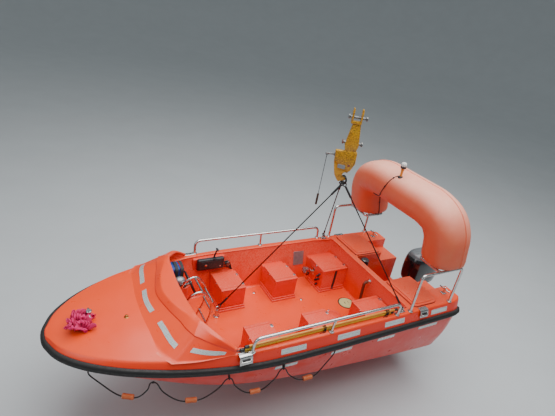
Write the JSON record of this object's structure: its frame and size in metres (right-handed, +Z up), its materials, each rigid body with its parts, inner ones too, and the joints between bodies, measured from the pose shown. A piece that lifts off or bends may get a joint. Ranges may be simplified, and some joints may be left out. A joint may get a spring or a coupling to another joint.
{
  "type": "lifeboat",
  "caption": "Open orange rescue boat with a cowl forward, a buoyant arch aft, seat lockers, side rails, an outboard motor and a three-leg lifting sling with its release hook.",
  "frame": {"origin": "on the centre line amidships, at the waterline", "axes": "+X forward to the bow, +Y to port, +Z up"},
  "size_m": [5.0401, 1.8842, 3.435],
  "materials": {
    "orange_gelcoat": "orange gelcoat on glass-fibre mouldings, sun-faded on top faces",
    "arch_skin": "faded salmon-orange skin over foam",
    "stainless_steel": "polished stainless tube and fittings",
    "black_rubber": "black extruded rubber",
    "black_plastic": "black moulded plastic",
    "wire_rope": "greased wire rope with black sleeves",
    "yellow_paint": "yellow paint on a forged hook",
    "yellow_plastic": "yellow glass-fibre poles",
    "motor_paint": "dark enamel on die-cast aluminium",
    "magenta_cloth": "crumpled magenta cloth",
    "lifeline_rope": "dark braided rope"
  },
  "bodies": {
    "boat": {"arch": "arch_skin", "arch_frame_port": "stainless_steel", "arch_frame_starboard": "stainless_steel", "bilge_hose": "black_rubber", "boat_hook": "yellow_plastic", "bow_post": "stainless_steel", "cleat_port": "stainless_steel", "cleat_starboard": "stainless_steel", "cloth_bundle": "magenta_cloth", "compass": "black_plastic", "control_box": "black_plastic", "cowl": "orange_gelcoat", "deck": "orange_gelcoat", "fender_bow": "black_rubber", "fender_port": "black_rubber", "fender_starboard": "black_rubber", "floor_hatch": "black_plastic", "helm_console": "orange_gelcoat", "helm_head": "black_plastic", "hook": "yellow_paint", "hull": "orange_gelcoat", "ladder": "stainless_steel", "lamp": "black_plastic", "lamp_cable": "black_rubber", "lanyard": "lifeline_rope", "lifeline_port": "lifeline_rope", "lifeline_starboard": "lifeline_rope", "lifting_eye_port": "stainless_steel", "lifting_eye_starboard": "stainless_steel", "lifting_post": "stainless_steel", "master_link": "black_rubber", "motor_bracket": "motor_paint", "pod_cover_port": "orange_gelcoat", "pod_cover_starboard": "orange_gelcoat", "pole": "yellow_plastic", "rail_port": "stainless_steel", "rail_starboard": "stainless_steel", "searchlight": "stainless_steel", "side_console": "orange_gelcoat", "sling_forward": "wire_rope", "sling_port": "wire_rope", "sling_starboard": "wire_rope"},
    "lid_port_1": {"lid_port_1": "orange_gelcoat"},
    "lid_port_2": {"lid_port_2": "orange_gelcoat"},
    "lid_port_3": {"lid_port_3": "orange_gelcoat"},
    "lid_starboard_1": {"lid_starboard_1": "orange_gelcoat"},
    "lid_starboard_2": {"lid_starboard_2": "orange_gelcoat"},
    "lid_starboard_3": {"lid_starboard_3": "orange_gelcoat"},
    "tilt_bracket": {"motor_swivel": "motor_paint"},
    "motor": {"motor_leg": "motor_paint", "motor_cowl": "black_plastic"},
    "screw": {"propeller": "motor_paint"},
    "wheel": {"helm_wheel": "black_plastic"}
  },
  "joints": [
    {"name": "lid_port_1_hinge", "type": "hinge", "parent": "boat", "child": "lid_port_1", "pos_m": [0.113, 0.482, 0.519], "axis": [0, -1, 0], "range_deg": [0, 85]},
    {"name": "lid_port_2_hinge", "type": "hinge", "parent": "boat", "child": "lid_port_2", "pos_m": [-0.608, 0.482, 0.519], "axis": [0, -1, 0], "range_deg": [0, 85]},
    {"name": "lid_port_3_hinge", "type": "hinge", "parent": "boat", "child": "lid_port_3", "pos_m": [-1.392, 0.482, 0.542], "axis": [0, -1, 0], "range_deg": [0, 85]},
    {"name": "lid_starboard_1_hinge", "type": "hinge", "parent": "boat", "child": "lid_starboard_1", "pos_m": [0.113, -0.482, 0.519], "axis": [0, -1, 0], "range_deg": [0, 85]},
    {"name": "lid_starboard_2_hinge", "type": "hinge", "parent": "boat", "child": "lid_starboard_2", "pos_m": [-0.608, -0.482, 0.519], "axis": [0, -1, 0], "range_deg": [0, 85]},
    {"name": "lid_starboard_3_hinge", "type": "hinge", "parent": "boat", "child": "lid_starboard_3", "pos_m": [-1.392, -0.482, 0.542], "axis": [0, -1, 0], "range_deg": [0, 85]},
    {"name": "motor_tilt", "type": "hinge", "parent": "boat", "child": "tilt_bracket", "pos_m": [-2.27, 0, 0.33], "axis": [0, 1, 0], "range_deg": [0, 60]},
    {"name": "motor_steer", "type": "hinge", "parent": "tilt_bracket", "child": "motor", "pos_m": [-2.368, 0, 0.12], "axis": [0, 0, 1], "range_deg": [-30, 30]},
    {"name": "propeller_spin", "type": "hinge", "parent": "motor", "child": "screw", "pos_m": [-2.724, 0, -0.48], "axis": [1, 0, 0], "continuous": true},
    {"name": "helm_turn", "type": "hinge", "parent": "boat", "child": "wheel", "pos_m": [0.75, -0.49, 0.565], "axis": [-0.9211, 0, 0.3894], "range_deg": [-545, 545]}
  ],
  "couplings": [
    {"joint": "helm_turn", "follows": "motor_steer", "ratio": -18}
  ]
}
